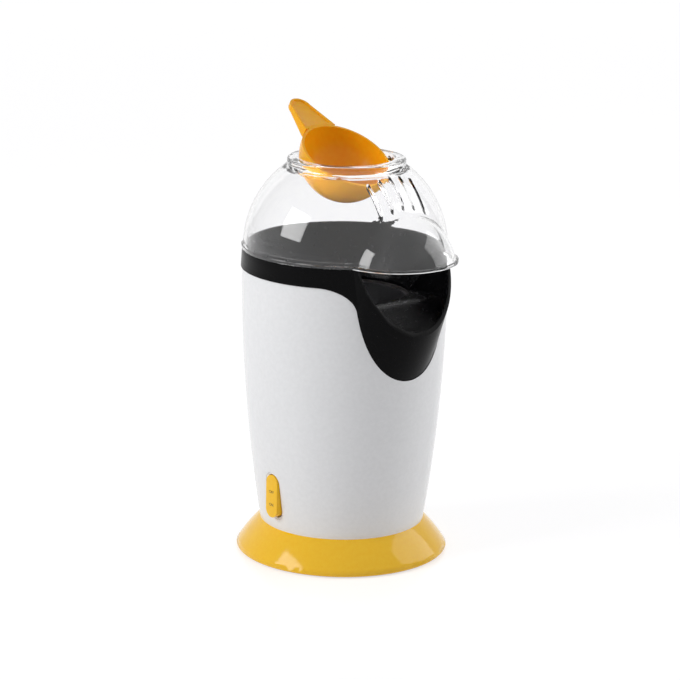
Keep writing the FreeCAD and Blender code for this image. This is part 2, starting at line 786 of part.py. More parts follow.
def dome_lid():
    shell = cut(dome_form("0", "hood_blend"), dome_form("dome_wall", "hood_blend + dome_wall"))
    rim = fuse(cylinder(f"{DOME_R} + dome_rim", "dome_rim_height", z=DOME_Z),
               cylinder("hood_radius + dome_rim", "dome_rim_height", y="-hood_out", z=DOME_Z))
    rim_hole = fuse(cylinder(f"{DOME_R} - dome_wall", "dome_rim_height * 3", z=f"{DOME_Z} - dome_rim_height"),
                    cylinder("hood_radius - dome_wall", "dome_rim_height * 3", y="-hood_out",
                             z=f"{DOME_Z} - dome_rim_height"))
    opening = cylinder(f"{RING_R} - ring_width / 2", "ring_depth * 6", z=f"{SCOOP_Z} - ring_depth * 3")
    bottom = f"{SCOOP_Z} - ring_depth"
    inner = "(scoop_radius - ring_width / 2)"
    edge = f"({RING_R} - ring_edge)"
    seat = lathe("seat_ring", [(inner, bottom), (edge, bottom), (RING_R, f"{bottom} + ring_edge"),
                               (RING_R, f"{RING_TOP_Z} - ring_edge"), (edge, RING_TOP_Z), (inner, RING_TOP_Z)],
                 {3: ("radius", "ring_edge", 1)})
    pocket = ball("scoop_radius + seat_gap", SCOOP_Z)
    solid = cut(fuse(cut(shell, opening), cut(rim, rim_hole), seat), pocket)
    vents = []
    middle = (SIZES["vent_count"] - 1) / 2
    for index in range(int(val("vent_count"))):
        x = f"vent_pitch * {index - middle}"
        low = f"{DOME_Z} + hood_rise + hood_radius / 2"
        ends = [cylinder("vent_width / 2", DOME_R, x, f"-(vent_start + {along})", low)
                for along in ("vent_width / 2", "vent_length - vent_width / 2")]
        bar = cuboid("vent_width", "vent_length - vent_width", DOME_R, f"{x} - vent_width / 2",
                     "-(vent_start + vent_length - vent_width / 2)", low)
        vents.append(fuse(bar, *ends))
    return cut(solid, *vents, label="dome_lid")


def measuring_scoop():
    """Round bowl with a handle in the plane of its rim, made level and then tilted in the ring."""
    inner = "(scoop_radius - scoop_wall)"
    body = lathe("measuring_scoop", [("0", "-scoop_radius"), ("scoop_radius", "0"), (inner, "0"),
                                     ("0", f"-{inner}")],
                 {0: ("centre_y", "0", 1), 2: ("centre_y", "0", -1)})
    root = f"({inner})"
    end = f"({root} + handle_length - handle_end_width / 2)"
    outline = sketch_on(body, "XY_Plane")
    draw(outline, [("handle_root_width / 2", root), ("handle_end_width / 2", end),
                   ("-handle_end_width / 2", end), ("-handle_root_width / 2", root)],
         {1: ("centre_y", end, 1)})
    feature(body, "Pad", outline, back=True, Length="handle_root_depth")
    taper = sketch_on(body, "YZ_Plane")
    tip = f"({end} + handle_end_width)"
    draw(taper, [(f"{root} + scoop_wall", "-handle_root_depth"), (tip, "-handle_end_depth"),
                 (tip, "-handle_root_depth * 2"), (f"{root} + scoop_wall", "-handle_root_depth * 2")])
    feature(body, "Pocket", taper, both_ways=True, Length="handle_root_width * 2")
    hollow = sketch_on(body, "XY_Plane")
    near = f"({root} + scoop_wall + handle_border)"
    half_root = "(handle_root_width / 2 - handle_root_border)"
    half_end = "(handle_end_width / 2 - handle_border)"
    draw(hollow, [(half_root, near), (half_end, end), (f"-{half_end}", end), (f"-{half_root}", near)],
         {1: ("centre_y", end, 1)})
    feature(body, "Pocket", hollow, Length="handle_hollow")
    turn = Rotation(Vector(0, 0, 1), val("scoop_turn")).multiply(Rotation(Vector(1, 0, 0), val("scoop_tilt")))
    body.Placement = Placement(Vector(), turn)
    return bind(body, z=SCOOP_Z)


# Popping chamber and duct


def popping_chamber():
    inner = f"({CHAMBER_R} - chamber_sheet)"
    floor = f"({CHAMBER_Z} + chamber_sheet)"
    bend = f"({CHAMBER_Z} + chamber_corner)"
    corners = [
        ("0", CHAMBER_Z), (f"{CHAMBER_R} - chamber_corner", CHAMBER_Z), (CHAMBER_R, bend),
        (CHAMBER_R, DUCT_TOP_Z), (DUCT_R, DUCT_TOP_Z), (DUCT_R, RIM_Z),
        (inner, RIM_Z), (inner, bend), (f"{CHAMBER_R} - chamber_corner", floor), ("0", floor),
    ]
    arcs = {1: ("centre_y", bend, 1), 7: ("centre_y", bend, -1)}
    cup = lathe("chamber_cup", corners, arcs)
    louvres = []
    count = int(val("louvre_count"))
    near = f"({CHAMBER_R} - chamber_sheet * 5)"
    across = "((louvre_width * sin(louvre_slant) - louvre_length * cos(louvre_slant)) / 2)"
    for index in range(count):
        slot = doc.addObject("Part::Box", "louvre")
        spin = index * 360 / count
        slant = Rotation(Vector(1, 0, 0), val("louvre_slant"))
        slot.Placement = Placement(Vector(), Rotation(Vector(0, 0, 1), spin).multiply(slant))
        x = f"{near} * cos({spin}) - {across} * sin({spin})"
        y = f"{near} * sin({spin}) + {across} * cos({spin})"
        bind(slot, Length="chamber_sheet * 10", Width="louvre_length", Height="louvre_width", x=x, y=y,
             z=f"{CHAMBER_Z} + louvre_height - (louvre_length * sin(louvre_slant) +"
               f" louvre_width * cos(louvre_slant)) / 2")
        louvres.append(slot)
    return cut(cup, fuse(*louvres), label="popping_chamber")


def chamber_gasket():
    outer = f"{THROAT_R} + gasket_width"
    return lathe("chamber_gasket", [(THROAT_R, RIM_Z), (outer, RIM_Z), (outer, THROAT_Z),
                                    (THROAT_R, THROAT_Z)])


def duct_housing():
    inner = f"({DUCT_R} - duct_wall)"
    ledge = f"({inner} - {LEDGE_W})"
    step = f"({inner} - heater_step)"
    flange = f"({DUCT_R} + duct_flange)"
    corners = [
        (ledge, DUCT_Z), (flange, DUCT_Z), (flange, MOUNT_Z), (DUCT_R, MOUNT_Z),
        (DUCT_R, f"{DUCT_TOP_Z} - ledge_thick"), (flange, f"{DUCT_TOP_Z} - ledge_thick"),
        (flange, DUCT_TOP_Z), (inner, DUCT_TOP_Z), (inner, HEATER_Z), (step, HEATER_Z),
        (step, f"{HEATER_Z} - heater_step"), (inner, f"{HEATER_Z} - heater_step"), (inner, MOUNT_Z),
        (ledge, MOUNT_Z),
    ]
    tube = lathe("duct_tube", corners)
    lugs = [cylinder("duct_boss_radius + duct_lug_edge", "ledge_thick",
                     *polar(DUCT_BOSS_CIRCLE, angle), DUCT_Z) for angle in DUCT_ANGLES]
    pads = [cuboid("duct_wall + pad_reach", "thermostat_radius * 2.5", "thermostat_radius * 2.5",
                   f"{DUCT_R} - duct_wall / 2", "-thermostat_radius * 1.25",
                   f"{HEATER_Z} + heater_height / 2 - thermostat_radius * 1.25"),
            cuboid("fuse_length", "duct_wall + pad_reach", "fuse_radius * 4", "-fuse_length / 2",
                   f"{DUCT_R} - duct_wall / 2", f"{HEATER_Z} + heater_height / 2 - fuse_radius * 2")]
    holes = [cylinder("screw_radius + screw_gap", "ledge_thick * 3", *polar(DUCT_BOSS_CIRCLE, angle),
                      f"{DUCT_Z} - ledge_thick") for angle in DUCT_ANGLES]
    for angle in BASE_ANGLES:
        holes.append(cylinder("screw_radius + thread_gap", "ledge_thick * 3", *polar(MOUNT_CIRCLE, angle),
                              f"{DUCT_Z} - ledge_thick"))
    return cut(fuse(tube, *lugs, *pads), *holes, label="duct_housing")


def duct_screws():
    seat = f"({DUCT_Z} + ledge_thick)"
    length = "ledge_thick + screw_bite"
    return group("duct_screws", [screw(*polar(DUCT_BOSS_CIRCLE, angle), seat, length, False)
                                 for angle in DUCT_ANGLES])


# Heater


def coil_rings(extra, label):
    """Heater turns, one inside the other, at mid-height of the boards."""
    rings = []
    for index in range(int(val("coil_count"))):
        turn = doc.addObject("Part::Torus", label)
        bind(turn, Radius1=f"{COIL_R} - coil_pitch * {index}", Radius2=f"coil_wire {extra}",
             z=f"{HEATER_Z} + heater_height / 2")
        rings.append(turn)
    return rings


def mica_boards():
    """Two crossed boards, each with a half-height slot at the middle, notched for the heater turns."""
    reach = f"({DUCT_R} - duct_wall - seat_gap)"
    boards = []
    for along_x in (True, False):
        length, width = (f"{reach} * 2", "mica_thick") if along_x else ("mica_thick", f"{reach} * 2")
        board = cuboid(length, width, "heater_height", f"-({length}) / 2", f"-({width}) / 2", HEATER_Z)
        slot_z = f"{HEATER_Z} + heater_height / 2" if along_x else f"{HEATER_Z} - {PAST}"
        slot = cuboid("mica_thick + seat_gap", "mica_thick + seat_gap", f"heater_height / 2 + {PAST}",
                      "-(mica_thick + seat_gap) / 2", "-(mica_thick + seat_gap) / 2", slot_z)
        boards.append(cut(board, slot, fuse(*coil_rings("+ running_gap", "coil_notch"))))
    return group("mica_boards", boards)


def heating_coil():
    return group("heating_coil", coil_rings("", "coil_turn"))


# Motor and fan

CAN_Z = f"({MOTOR_Z} + end_cap_height)"
BUSH_TOP_Z = f"({MOUNT_Z} - can_wall)"


def motor_mount():
    outer = f"({DUCT_R} - duct_wall - seat_gap)"
    top = f"({MOUNT_Z} + mount_thick)"
    rim = lathe("mount_rim", [(f"{outer} - {LEDGE_W}", MOUNT_Z), (outer, MOUNT_Z), (outer, top),
                              (f"{outer} - {LEDGE_W}", top)])
    hub = cylinder("motor_radius + mount_hub_edge", "mount_thick", z=MOUNT_Z)
    arms = [radial_box("motor_radius", f"{outer} - motor_radius - {LEDGE_W} / 2", "mount_arm_width",
                       "mount_thick", MOUNT_Z, angle) for angle in BASE_ANGLES]
    holes = [cylinder("bush_radius + seat_gap", "mount_thick * 3", z=f"{MOUNT_Z} - mount_thick")]
    for angle in (0, 180):
        holes.append(cylinder("screw_radius + screw_gap", "mount_thick * 3",
                              *polar("motor_screw_circle", angle), f"{MOUNT_Z} - mount_thick"))
    for angle in BASE_ANGLES:
        holes.append(cylinder("screw_radius + screw_gap", "mount_thick * 3", *polar(MOUNT_CIRCLE, angle),
                              f"{MOUNT_Z} - mount_thick"))
    return cut(fuse(rim, hub, *arms), *holes, label="motor_mount")


def motor_mount_screws():
    seat = f"({MOUNT_Z} + mount_thick)"
    length = "mount_thick + ledge_thick"
    return group("motor_mount_screws", [screw(*polar(MOUNT_CIRCLE, angle), seat, length, False)
                                        for angle in BASE_ANGLES])


def motor_screws():
    seat = f"({MOUNT_Z} + mount_thick)"
    length = "mount_thick + can_wall + motor_screw_end"
    return group("motor_screws", [screw(*polar("motor_screw_circle", angle), seat, length, False)
                                  for angle in (0, 180)])


def motor_can():
    inner = "(motor_radius - can_wall)"
    roof = f"({MOUNT_Z} - can_wall)"
    turned = lathe("can_turned", [("bush_radius", MOUNT_Z), ("motor_radius", MOUNT_Z),
                                  ("motor_radius", CAN_Z), (inner, CAN_Z), (inner, roof),
                                  ("bush_radius", roof)])
    holes = [cylinder("screw_radius + thread_gap", "can_wall * 6", *polar("motor_screw_circle", angle),
                      f"{roof} - can_wall * 2") for angle in (0, 180)]
    return cut(turned, *holes, label="motor_can")


def motor_end_cap():
    inner = "(motor_radius - can_wall - seat_gap)"
    bore = f"({inner} - end_cap_lip)"
    rim_z = f"({CAN_Z} + end_cap_lip)"
    floor_z = f"({MOTOR_Z} + end_cap_floor)"
    return lathe("motor_end_cap", [("bush_radius", MOTOR_Z), ("motor_radius", MOTOR_Z),
                                   ("motor_radius", CAN_Z), (inner, CAN_Z), (inner, rim_z), (bore, rim_z),
                                   (bore, floor_z), ("bush_radius", floor_z)])


def motor_bushes():
    bushes = []
    for low in (MOTOR_Z, f"{MOUNT_Z} - bush_length + mount_thick / 2"):
        sleeve = cylinder("bush_radius", "bush_length", z=low)
        bushes.append(cut(sleeve, cylinder("shaft_radius + running_gap", "bush_length * 3",
                                           z=f"{low} - bush_length")))
    return group("motor_bushes", bushes)


def motor_magnets():
    """Two half shells glued inside the can."""
    outer = "(motor_radius - can_wall)"
    low = f"({CAN_Z} + magnet_lift)"
    tube = cut(cylinder(outer, "armature_length", z=low),
               cylinder(f"{outer} - magnet_thick", "armature_length * 3", z=f"{low} - armature_length"))
    slots = cuboid("motor_radius * 4", "magnet_split", "armature_length * 3", "-motor_radius * 2",
                   "-magnet_split / 2", f"{low} - armature_length")
    return cut(tube, slots, label="motor_magnets")


def motor_armature():
    """Laminated rotor with three poles, on the shaft."""
    radius = "(motor_radius - can_wall - magnet_thick - magnet_gap)"
    low = f"({CAN_Z} + magnet_lift)"
    stack = cylinder(radius, "armature_length", z=low)
    slots = [radial_box("shaft_radius * 3", "motor_radius", "shaft_radius * 2", "armature_length * 3",
                        f"{low} - armature_length", angle) for angle in (0, 120, 240)]
    return cut(stack, *slots, cylinder("shaft_radius", "armature_length * 3", z=f"{low} - armature_length"),
               label="motor_armature")


def motor_shaft():
    low = f"({MOTOR_Z} - shaft_tail)"
    shaft = cylinder("shaft_radius", f"{FAN_Z} + fan_height - {low}", z=low)
    shaft.Label = "motor_shaft"
    return shaft


def fan_impeller():
    """Hub and top plate with straight blades hanging below; air comes in at the middle from below."""
    top = f"({FAN_Z} + fan_height)"
    under = f"({top} - fan_plate)"
    body = lathe("fan_impeller", [("shaft_radius", FAN_Z), ("fan_hub", FAN_Z), ("fan_hub", under),
                                  (FAN_R, under), (FAN_R, top), ("shaft_radius", top)])
    blade = sketch_on(body, "XY_Plane", FAN_Z)
    half = "fan_blade / 2"
    inner = f"({FAN_R} - fan_blade_length)"
    draw(blade, [(inner, f"-{half}"), (FAN_R, f"-{half}"), (FAN_R, half), (inner, half)])
    lifted = feature(body, "Pad", blade, Length=f"{under} - {FAN_Z}")
    ring_pattern(body, lifted, blade, "fan_blade_count")
    return body


# Electrical pieces

BOARD_Z = f"({MOTOR_Z} - board_drop)"


def rectifier_board():
    """Round board on two stand-offs below the motor's end cap."""
    disc = cut(cylinder("board_radius", "board_thick", z=BOARD_Z),
               cylinder("shaft_radius * 2", "board_thick * 3", z=f"{BOARD_Z} - board_thick"))
    legs = [cylinder("screw_radius", "board_drop - board_thick", *polar("board_leg_circle", angle),
                     f"{BOARD_Z} + board_thick") for angle in (90, 270)]
    return fuse(disc, *legs, label="rectifier_board")


def rectifier_diodes():
    diodes = []
    for x in (-1, 1):
        for y in (-1, 1):
            diodes.append(cylinder("diode_radius", "diode_length", f"diode_place_x * {x} - diode_length / 2",
                                   f"diode_place_y * {y}", f"{BOARD_Z} - diode_radius", ALONG_X))
    return group("rectifier_diodes", diodes)


def thermostat():
    """Disc thermostat on the flat pad of the duct, with two spade tabs."""
    face = f"({DUCT_R} + duct_wall / 2 + pad_reach)"
    z = f"({HEATER_Z} + heater_height / 2)"
    can = cylinder("thermostat_radius", "thermostat_height - thermostat_cap", face, "0", z, ALONG_X)
    cap = cylinder("thermostat_radius - thermostat_step", "thermostat_cap",
                   f"{face} + thermostat_height - thermostat_cap", "0", z, ALONG_X)
    return fuse(can, cap, label="thermostat")


def thermal_fuse():
    made = cylinder("fuse_radius", "fuse_length", "-fuse_length / 2",
                    f"{DUCT_R} + duct_wall / 2 + pad_reach + fuse_radius", f"{HEATER_Z} + heater_height / 2",
                    ALONG_X)
    made.Label = "thermal_fuse"
    return made


def terminal_block():
    """Screw terminal block on the base plate, between the air slots and the cord inlet."""
    block = cuboid("block_length", "block_width", "block_height", "-block_length / 2",
                   "block_place - block_width / 2", PLATE_TOP_Z)
    holes = [cylinder("screw_radius", "block_height", f"block_length / 4 * {side}", "block_place",
                      f"{PLATE_TOP_Z} + block_height / 3") for side in (-1, 0, 1)]
    return cut(block, *holes, label="terminal_block")


# Switch: made with its face in the YZ plane and the body's inside towards +X, then leaned with the wall

CAVITY_W = "(rocker_width + rocker_side_gap * 2)"
CAVITY_H = "(rocker_height + rocker_end_gap * 2)"
HOUSING_W = f"({CAVITY_W} + switch_wall * 2)"
HOUSING_H = f"({CAVITY_H} + switch_wall * 2)"
PIVOT = "(rocker_depth / 2)"


def on_switch_wall(body, rock="0 deg"):
    """Leans a switch piece with the wall, and rocks it about the pin, which lies PIVOT behind the face."""
    lean = f"asin(({UPRIGHT_Z} - switch_z) / {BARREL_R})"
    body.Placement = Placement(Vector(), Rotation(Vector(0, -1, 0), val(f"{lean} - {rock}")))
    body.setExpression("Placement.Rotation.Angle", expr(f"{lean} - {rock}"))
    return bind(body, x=f"{PIVOT} * (cos({lean}) - cos({lean} - {rock})) - {wall_radius('switch_z')}",
                z=f"switch_z + {PIVOT} * (sin({lean}) - sin({lean} - {rock}))")


def pill(body, width, height, start, length, kind="Pad"):
    """Upright pill outline padded or pocketed inwards from start."""
    half = f"(({width}) / 2)"
    straight = f"(({height}) / 2 - {half})"
    sketch = sketch_on(body, "YZ_Plane", start)
    draw(sketch, [(half, f"-{straight}"), (half, straight),
                  (f"-{half}", straight), (f"-{half}", f"-{straight}")],
         {1: ("centre_y", straight, 1), 3: ("centre_y", f"-{straight}", 1)})
    return feature(body, kind, sketch, back=kind == "Pocket", Length=length)


def switch_opening():
    body = new_body("switch_opening")
    pill(body, f"{HOUSING_W} + thread_gap * 2", f"{HOUSING_H} + thread_gap * 2", "-rocker_height / 2",
         "rocker_height")
    return on_switch_wall(body)


def switch_housing():
    body = new_body("switch_housing")
    pill(body, HOUSING_W, HOUSING_H, "switch_inset", "switch_depth - switch_inset")
    pill(body, CAVITY_W, CAVITY_H, "switch_inset", "switch_depth - switch_inset - switch_wall", "Pocket")
    hole = sketch_on(body, "XZ_Plane")
    circle(hole, PIVOT, "0", "pin_radius + running_gap")
    feature(body, "Pocket", hole, both_ways=True, Length=f"{HOUSING_W} * 2")
    return on_switch_wall(body)


def switch_rocker():
    body = new_body("switch_rocker")
    pill(body, "rocker_width", "rocker_height", "-rocker_proud", "rocker_proud + rocker_depth")
    hole = sketch_on(body, "XZ_Plane")
    circle(hole, PIVOT, "0", "pin_radius + running_gap")
    feature(body, "Pocket", hole, both_ways=True, Length="rocker_width * 2")
    return on_switch_wall(body, "(rocker_tilt * 1 deg)")


def rocker_pin():
    body = new_body("rocker_pin")
    sketch = sketch_on(body, "XZ_Plane")
    circle(sketch, PIVOT, "0", "pin_radius")
    feature(body, "Pad", sketch, both_ways=True, Length=HOUSING_W)
    return on_switch_wall(body)


def switch_tabs():
    tabs = []
    for side in (-1, 0, 1):
        body = new_body("switch_tab")
        sketch = sketch_on(body, "YZ_Plane", "switch_depth")
        level = f"(tab_pitch * {side})"
        low = f"{level} - tab_thick / 2"
        high = f"{level} + tab_thick / 2"
        draw(sketch, [("tab_width / 2", low), ("tab_width / 2", high),
                      ("-tab_width / 2", high), ("-tab_width / 2", low)])
        feature(body, "Pad", sketch, Length="tab_length")
        tabs.append(on_switch_wall(body))
    return group("switch_tabs", tabs)


# Cord inlet in the back of the body

BACK = (Vector(1, 0, 0), -90)
INLET_FACE = f"({wall_radius('inlet_z')} - body_wall / 4)"
INLET_R = "(inlet_bore + inlet_wall)"


def inlet_hole():
    """Round hole through the wall, with a flat spot face for the bush's flange."""
    hole = cylinder(f"{INLET_R} + thread_gap", "inlet_length * 2", "0", f"{INLET_FACE} - inlet_length",
                    "inlet_z", BACK)
    face = cylinder(f"{INLET_R} + inlet_flange + seat_gap", "inlet_length", "0", INLET_FACE, "inlet_z", BACK)
    return fuse(hole, face)


def cord_bush():
    flange = cylinder(f"{INLET_R} + inlet_flange", "inlet_flange_thick", "0", INLET_FACE, "inlet_z", BACK)
    start = f"{INLET_FACE} - inlet_length + inlet_flange_thick"
    sleeve = cylinder(INLET_R, "inlet_length", "0", start, "inlet_z", BACK)
    bore = cylinder("inlet_bore", "inlet_length * 3", "0", f"{start} - inlet_length", "inlet_z", BACK)
    return cut(fuse(flange, sleeve), bore, label="cord_bush")


MAKERS = [
    base_skirt, base_plate, rubber_feet, base_screws, body_shell, collar_screws, chute_collar, dome_lid,
    measuring_scoop, popping_chamber, chamber_gasket, duct_housing, duct_screws, mica_boards, heating_coil,
    motor_mount, motor_mount_screws, motor_screws, motor_can, motor_end_cap, motor_bushes, motor_magnets,
    motor_armature, motor_shaft, fan_impeller, rectifier_board, rectifier_diodes, thermostat, thermal_fuse,
    terminal_block, switch_housing, switch_rocker, rocker_pin, switch_tabs, cord_bush,
]

pieces = []
for maker in MAKERS:
    piece = maker()
    piece.Label = maker.__name__
    pieces.append(piece)
doc.recompute()

failed = [thing.Label for thing in doc.Objects if "Invalid" in thing.State or "Error" in thing.State]
if failed:
    raise RuntimeError(f"failed objects: {failed}")
for piece in pieces:
    shape = piece.Shape
    if shape.isNull() or not shape.isValid() or not shape.Solids:
        raise RuntimeError(f"bad shape: {piece.Label}")

os.makedirs("parts", exist_ok=True)
for piece in pieces:
    piece.Shape.exportStep(f"parts/{piece.Label}.step")
    print(f"{piece.Label}: {len(piece.Shape.Solids)} solids, {piece.Shape.Volume:.0f} mm3")
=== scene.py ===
# %% [markdown]
# A hot-air popcorn maker, dressed for a studio picture.
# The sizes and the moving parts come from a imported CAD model, which is loaded as a fixed frame.
# This lesson adds the camera, the light, the finishes and the small printed details.

# %% Load the frame
import json
import math

import bpy
from mathutils import Matrix, Vector


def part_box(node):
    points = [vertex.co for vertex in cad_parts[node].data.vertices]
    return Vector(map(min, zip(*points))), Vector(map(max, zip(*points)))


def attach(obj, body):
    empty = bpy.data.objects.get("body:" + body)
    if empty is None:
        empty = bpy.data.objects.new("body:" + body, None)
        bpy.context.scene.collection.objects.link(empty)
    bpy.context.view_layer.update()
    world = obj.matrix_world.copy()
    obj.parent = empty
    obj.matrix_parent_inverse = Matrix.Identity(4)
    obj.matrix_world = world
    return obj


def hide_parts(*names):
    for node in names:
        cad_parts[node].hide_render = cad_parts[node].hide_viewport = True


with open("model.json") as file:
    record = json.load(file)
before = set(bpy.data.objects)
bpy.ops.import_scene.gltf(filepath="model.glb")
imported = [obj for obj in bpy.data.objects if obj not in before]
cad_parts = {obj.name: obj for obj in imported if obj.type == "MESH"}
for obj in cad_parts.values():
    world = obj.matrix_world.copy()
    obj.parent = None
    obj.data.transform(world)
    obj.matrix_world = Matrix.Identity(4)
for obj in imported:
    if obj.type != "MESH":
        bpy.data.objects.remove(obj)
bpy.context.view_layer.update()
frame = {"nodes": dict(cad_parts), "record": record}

MM = 0.001
print("frame:", len(frame["nodes"]), "nodes")

# %% [markdown]
# The camera comes first, because every later choice is judged through it.
# It stands two metres away with a long lens, so the upright sides stay almost parallel.
# It looks down by about fifteen degrees and is rolled by a little under one degree, as hand-held cameras are.

# %% Set the camera
AZIMUTH = math.radians(-40)
ELEVATION = math.radians(14.99)
LOOK_DOWN = math.radians(14.68)
HEADING = math.radians(-39.91)
ROLL = math.radians(0.82)
DISTANCE = 2.0
SENSOR_MM = 36
LENS_MM = 140.7
AIM = Vector((0, 0, 0.15))

bpy.ops.object.select_all(action="DESELECT")
bpy.ops.object.camera_add()
camera = bpy.context.object
camera.name = "studio_camera"
camera.data.sensor_width = SENSOR_MM
camera.data.lens = LENS_MM
side = math.cos(ELEVATION)
stand = Vector((math.sin(AZIMUTH) * side, -math.cos(AZIMUTH) * side, math.sin(ELEVATION)))
turn = (Matrix.Rotation(HEADING, 4, "Z") @ Matrix.Rotation(math.pi / 2 - LOOK_DOWN, 4, "X")
        @ Matrix.Rotation(ROLL, 4, "Z"))
camera.matrix_world = Matrix.Translation(AIM + stand * DISTANCE) @ turn
bpy.context.scene.camera = camera
print("camera at", [round(v, 3) for v in camera.location])

# %% [markdown]
# Every finish below is built from nodes. Two small helpers keep that readable: one turns a colour
# written as on a paint chart into the linear values that the renderer works in, and one adds a node,
# sets it up and links it. Patterns read Object coordinates, so a size in millimetres stays true on the part.

# %% Helpers for finishes
TONE_ENDS = (0.3, 0.7)
GRAIN_DETAIL = 2.0


def paint(code):
    """Linear colour from an sRGB hex code."""
    channels = [int(code[i:i + 2], 16) / 255 for i in (1, 3, 5)]
    linear = [c / 12.92 if c <= 0.04045 else ((c + 0.055) / 1.055) ** 2.4 for c in channels]
    return (*linear, 1.0)


def add(tree, kind, settings=None, inputs=None, links=None):
    """Adds a node, sets its options and sockets, and links its inputs to (node, output)."""
    node = tree.nodes.new(kind)
    for name, value in (settings or {}).items():
        setattr(node, name, value)
    for name, value in (inputs or {}).items():
        node.inputs[name].default_value = value
    for name, (source, output) in (links or {}).items():
        tree.links.new(source.outputs[output], node.inputs[name])
    return node


def finish(name, shade, light, rough, pattern_mm, relief_mm, stretch=(1, 1, 1), **sockets):
    """A surface whose tone, roughness and relief vary over a pattern of a real size."""
    material = bpy.data.materials.new(name)
    material.use_nodes = True
    tree = material.node_tree
    tree.nodes.clear()
    place = add(tree, "ShaderNodeTexCoord")
    sized = add(tree, "ShaderNodeMapping", inputs={"Scale": stretch}, links={"Vector": (place, "Object")})
    grain = add(tree, "ShaderNodeTexNoise",
                inputs={"Scale": 1 / (pattern_mm * MM), "Detail": GRAIN_DETAIL},
                links={"Vector": (sized, "Vector")})
    tone = add(tree, "ShaderNodeValToRGB", links={"Fac": (grain, "Fac")})
    for stop, position, code in zip(tone.color_ramp.elements, TONE_ENDS, (shade, light)):
        stop.position = position
        stop.color = paint(code)
    gloss = add(tree, "ShaderNodeMapRange", inputs={"To Min": rough[0], "To Max": rough[1]},
                links={"Value": (grain, "Fac")})
    relief = add(tree, "ShaderNodeBump", inputs={"Strength": 1.0, "Distance": relief_mm * MM},
                 links={"Height": (grain, "Fac")})
    shader = add(tree, "ShaderNodeBsdfPrincipled", inputs=sockets,
                 links={"Base Color": (tone, "Color"), "Roughness": (gloss, "Result"),
                        "Normal": (relief, "Normal")})
    add(tree, "ShaderNodeOutputMaterial", links={"Surface": (shader, "BSDF")})
    return material


# %% [markdown]
# The outside is moulded plastic. ABS comes out of a polished mould glossy, with a very faint ripple
# called orange peel, a few millimetres across and only microns deep, which softens the edges of reflections.
# The scoop is tinted polystyrene: light enters it and glows back, so it gets some subsurface scattering.
# The dome is clear polystyrene, which is as smooth as glass and bends light about as much. Lamps shine
# straight through it, because clear plastic casts hardly any shadow.

# %% Moulded plastics
MATT = {"IOR": 1.5, "Specular IOR Level": 0.35}
white_abs = finish("white_abs_moulded", "#ECEDEE", "#F0F1F2", (0.16, 0.22), 3.0, 0.004,
                   **{"IOR": 1.53, "Specular IOR Level": 0.35})
black_abs = finish("black_abs_moulded", "#030304", "#060607", (0.22, 0.3), 3.0, 0.004,
                   **{"IOR": 1.53, "Specular IOR Level": 0.06})
yellow_abs = finish("yellow_abs_moulded", "#FDC41A", "#FFCA22", (0.08, 0.13), 3.0, 0.003,
                    **{"IOR": 1.53, "Specular IOR Level": 0.3})
amber_polystyrene = finish("amber_polystyrene_moulded", "#FBAE10", "#FDB71A", (0.2, 0.28), 4.0, 0.003,
                           **{"IOR": 1.59, "Specular IOR Level": 0.15, "Subsurface Weight": 0.25,
                              "Subsurface Scale": 0.004})
matt_abs = finish("black_abs_textured", "#161617", "#232325", (0.5, 0.62), 0.8, 0.02, **MATT)
clear_polystyrene = finish("clear_polystyrene_moulded", "#FDFDFE", "#FFFFFF", (0.02, 0.05), 6.0, 0.002,
                           **{"IOR": 1.45, "Transmission Weight": 1.0})
clear = clear_polystyrene.node_tree
ray = add(clear, "ShaderNodeLightPath")
through = add(clear, "ShaderNodeBsdfTransparent")
glassy = clear.nodes["Principled BSDF"]
lit_through = add(clear, "ShaderNodeMixShader",
                  links={0: (ray, "Is Shadow Ray"), 1: (glassy, "BSDF"), 2: (through, "BSDF")})
clear.links.new(lit_through.outputs[0], clear.nodes["Material Output"].inputs["Surface"])
print("plastics:", white_abs.name, black_abs.name, yellow_abs.name, clear_polystyrene.name)

# %% [markdown]
# Inside, the parts are sheet metal, mica, rubber and a small motor. They show through the air slots and the
# spout, and whenever the dome is lifted. Rolled metal has streaks along one direction, so its pattern is
# drawn out on one axis, and that of a stack of thin sheets on two. Zinc plating is a fine dull crystal, and
# ferrite is nearly black.

# %% Metals and inner materials
METAL = {"Metallic": 1.0}
UPRIGHT_STREAKS = (1, 1, 0.05)
LEVEL_SHEETS = (0.01, 0.01, 1)
UPRIGHT_FLAKES = (1, 1, 0.4)
zinc_steel = finish("zinc_plated_steel", "#A9AAA8", "#C3C4C2", (0.28, 0.42), 1.2, 0.006, **METAL)
galvanised = finish("galvanised_sheet_steel", "#9FA3A6", "#BCC0C2", (0.35, 0.55), 6.0, 0.004, **METAL)
coated_aluminium = finish("dark_coated_aluminium", "#1B1B1D", "#29292B", (0.38, 0.5), 1.0, 0.01, **MATT)
rolled_aluminium = finish("rolled_aluminium", "#B9BABA", "#D2D3D2", (0.25, 0.45), 1.5, 0.006,
                          UPRIGHT_STREAKS, **METAL)
nichrome = finish("oxidised_nichrome_wire", "#4A423C", "#6B6058", (0.4, 0.6), 1.0, 0.02, **METAL)
bronze = finish("sintered_bronze", "#8A6A3C", "#B08A50", (0.45, 0.6), 0.5, 0.02, **METAL)
brass = finish("plain_brass", "#B8964E", "#CFAE66", (0.25, 0.4), 1.0, 0.005, **METAL)
ferrite = finish("ferrite_magnet", "#2B2B2D", "#39393B", (0.6, 0.75), 0.8, 0.03, **MATT)
laminated_steel = finish("laminated_core_steel", "#5A5856", "#868481", (0.35, 0.5), 0.5, 0.05,
                         LEVEL_SHEETS, **METAL)
mica = finish("mica_sheet", "#B39B6D", "#D0BC92", (0.4, 0.6), 4.0, 0.02, UPRIGHT_FLAKES, **MATT)
